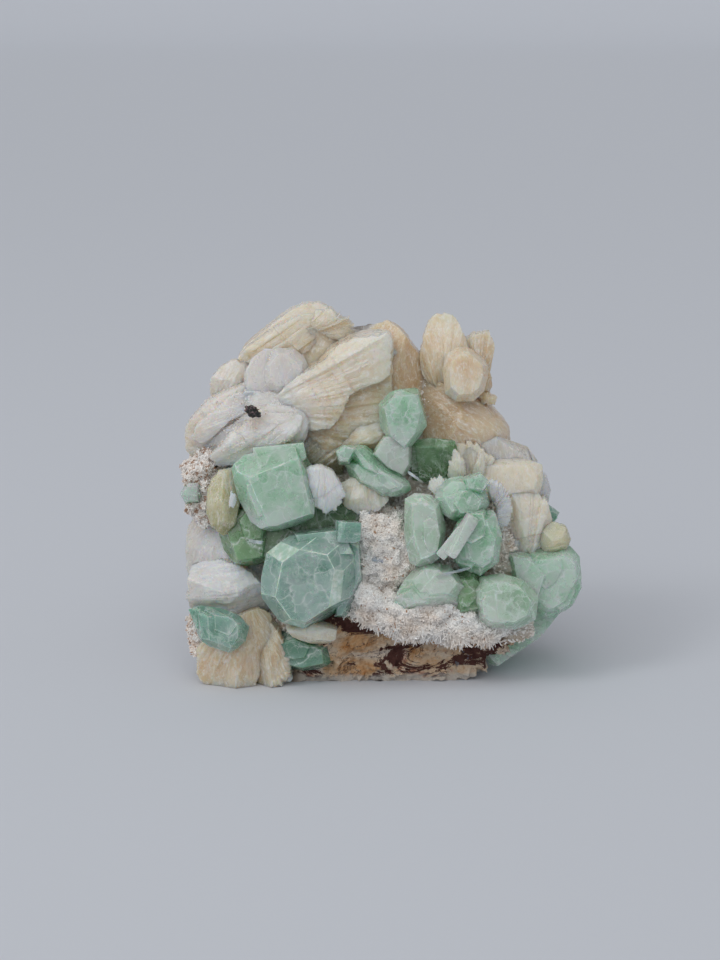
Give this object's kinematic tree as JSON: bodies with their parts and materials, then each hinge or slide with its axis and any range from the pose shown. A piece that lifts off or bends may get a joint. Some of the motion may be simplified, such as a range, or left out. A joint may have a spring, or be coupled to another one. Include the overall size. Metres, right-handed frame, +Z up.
{
  "type": "apophyllite specimen",
  "caption": "Hand-size mineral specimen: green apophyllite crystals and cream stilbite sheaves grown on a broken piece of altered basalt with a white crystal crust.",
  "frame": {"origin": "on the ground, under the middle of the specimen's box", "axes": "+Z up, -Y is the front with the best crystals, +X to the right of someone who faces the front"},
  "size_m": [0.0918, 0.0636, 0.0845],
  "materials": {
    "altered_basalt": "rough broken surface, tan and cream with ochre and dark maroon patches",
    "white_druse": "sugary crust of fine white crystals with brown specks",
    "white_zeolite": "smooth, waxy",
    "mint_apophyllite": "glassy, cloudy mint green, with pale edges",
    "deep_green_apophyllite": "glassy, cloudy deep green",
    "cream_stilbite": "pearly, finely striated along its length",
    "peach_stilbite": "smooth, waxy, translucent",
    "white_stilbite": "pearly white, fibrous"
  },
  "bodies": {
    "root": {"apophyllite_back_large": "mint_apophyllite", "apophyllite_back_small": "mint_apophyllite", "apophyllite_beam": "mint_apophyllite", "apophyllite_cluster_base": "mint_apophyllite", "apophyllite_cluster_left": "mint_apophyllite", "apophyllite_cluster_low": "mint_apophyllite", "apophyllite_cluster_prism": "mint_apophyllite", "apophyllite_cluster_right": "mint_apophyllite", "apophyllite_cluster_top": "mint_apophyllite", "apophyllite_dull": "deep_green_apophyllite", "apophyllite_left_edge": "mint_apophyllite", "apophyllite_left_lobe": "deep_green_apophyllite", "apophyllite_lower_left": "mint_apophyllite", "apophyllite_main": "mint_apophyllite", "apophyllite_olive": "deep_green_apophyllite", "apophyllite_plate": "mint_apophyllite", "apophyllite_right_block": "mint_apophyllite", "apophyllite_right_edge": "mint_apophyllite", "apophyllite_right_face": "mint_apophyllite", "apophyllite_right_upper": "mint_apophyllite", "apophyllite_small_cube": "mint_apophyllite", "apophyllite_top": "mint_apophyllite", "apophyllite_under": "deep_green_apophyllite", "apophyllite_upper_left": "mint_apophyllite", "druse_band": "white_druse", "druse_centre": "white_druse", "druse_foot_left": "white_druse", "druse_left": "white_druse", "matrix": "altered_basalt", "stilbite_back_fan": "cream_stilbite", "stilbite_back_slab": "peach_stilbite", "stilbite_back_tuft": "cream_stilbite", "stilbite_ball": "cream_stilbite", "stilbite_beige_lobe": "cream_stilbite", "stilbite_brown": "cream_stilbite", "stilbite_clear_block": "white_stilbite", "stilbite_cream_disc": "cream_stilbite", "stilbite_crescent": "white_stilbite", "stilbite_crest": "cream_stilbite", "stilbite_crest_left": "cream_stilbite", "stilbite_fan": "cream_stilbite", "stilbite_flower_bud": "cream_stilbite", "stilbite_flower_front": "cream_stilbite", "stilbite_flower_left": "cream_stilbite", "stilbite_flower_right": "cream_stilbite", "stilbite_foot_left": "cream_stilbite", "stilbite_foot_right": "cream_stilbite", "stilbite_grey_block": "white_stilbite", "stilbite_leaf": "cream_stilbite", "stilbite_left_block": "white_stilbite", "stilbite_lobe_lower": "white_stilbite", "stilbite_lobe_upper": "white_stilbite", "stilbite_olive_lobe": "cream_stilbite", "stilbite_right_sheaf": "cream_stilbite", "stilbite_shoulder": "peach_stilbite", "stilbite_slab_lower": "cream_stilbite", "stilbite_slab_upper": "cream_stilbite", "stilbite_under_slab": "cream_stilbite", "stilbite_white_disc": "white_stilbite", "zeolite_lump": "white_zeolite"}
  },
  "joints": []
}
